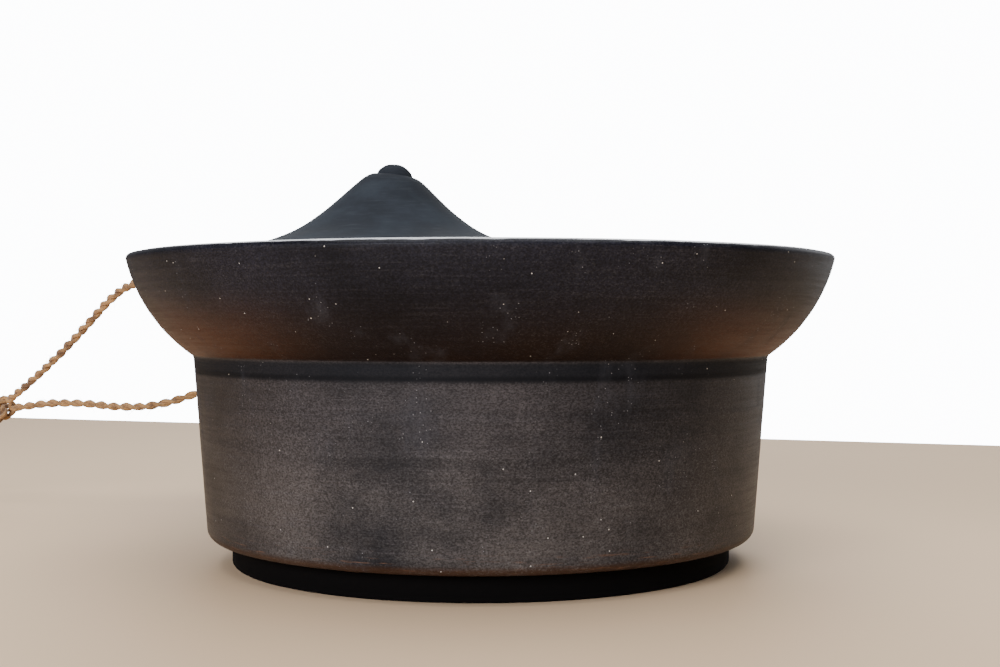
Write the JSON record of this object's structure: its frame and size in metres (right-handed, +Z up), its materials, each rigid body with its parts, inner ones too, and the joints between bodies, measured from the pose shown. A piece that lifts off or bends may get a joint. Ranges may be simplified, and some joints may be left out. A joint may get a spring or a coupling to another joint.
{
  "type": "lidded black clay pot",
  "caption": "Round burnished black clay pot with a straight body, a flared collar, a loose peaked lid with a button knob and a knotted hanging loop of twine.",
  "frame": {"origin": "centre of the flat foot, on the surface that the pot stands on", "axes": "+Z up along the pot's turning axis; -Y is the front; the lid lies towards +Y and -X, and the twine leaves towards -X"},
  "size_m": [0.3093, 0.2215, 0.1043],
  "materials": {
    "clay": "smoke-fired clay, burnished to a graphite sheen, with fine turning lines",
    "twine": "two-ply jute twine, hairy"
  },
  "bodies": {
    "pot": {"pot_body": "clay", "twine_upper": "twine", "twine_lower": "twine", "twine_tail": "twine", "loop_knot": "twine", "stop_knot_left": "twine", "stop_knot_back": "twine", "tail_knot": "twine"},
    "lid": {"lid": "clay", "lid_button": "clay"}
  },
  "joints": [
    {"name": "lid_lift", "type": "slide", "parent": "pot", "child": "lid", "axis": [0, 0, 1], "range_m": [0, 0.12]}
  ]
}
